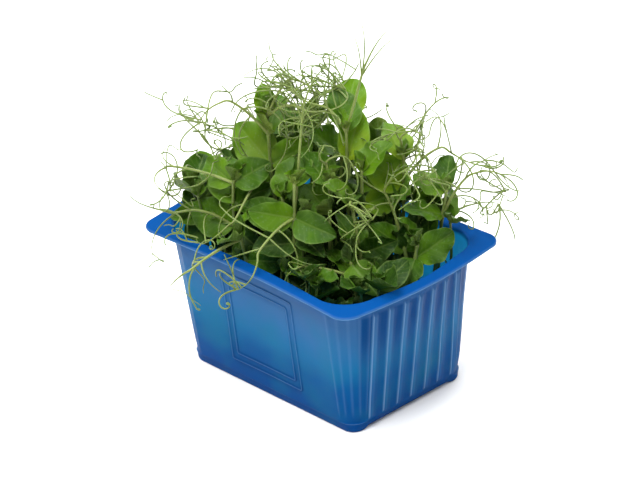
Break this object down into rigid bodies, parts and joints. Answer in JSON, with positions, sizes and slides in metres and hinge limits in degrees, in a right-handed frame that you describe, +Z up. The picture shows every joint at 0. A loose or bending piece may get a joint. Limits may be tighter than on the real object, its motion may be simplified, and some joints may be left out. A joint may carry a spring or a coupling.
{
  "type": "pea shoot microgreens tray",
  "caption": "Deep flanged rectangular plastic tray of growing medium with leafy, tendrilled pea shoots standing in it, for cutting fresh.",
  "frame": {"origin": "middle of the tray's flat underside, on the surface it stands on", "axes": "+Z up out of the tray, +X along its long side, +Y along its short side, the front panel on -Y"},
  "size_m": [0.2144, 0.1765, 0.2375],
  "materials": {
    "tray_plastic": "thermoformed translucent blue polypropylene, satin",
    "peat": "moist fine peat and coir, crumbly",
    "shoot": "living pea leaf, waxy matt with pale veins; stems and tendrils pale green"
  },
  "bodies": {
    "root": {"tray": "tray_plastic", "growing_medium": "peat", "shoot_01": "shoot", "shoot_02": "shoot", "shoot_03": "shoot", "shoot_04": "shoot", "shoot_05": "shoot", "shoot_06": "shoot", "shoot_07": "shoot", "shoot_08": "shoot", "shoot_09": "shoot", "shoot_10": "shoot", "shoot_11": "shoot", "shoot_12": "shoot", "shoot_13": "shoot", "shoot_14": "shoot", "shoot_15": "shoot", "shoot_16": "shoot", "shoot_17": "shoot", "shoot_18": "shoot", "shoot_19": "shoot", "shoot_20": "shoot", "shoot_21": "shoot", "shoot_22": "shoot"}
  },
  "joints": []
}
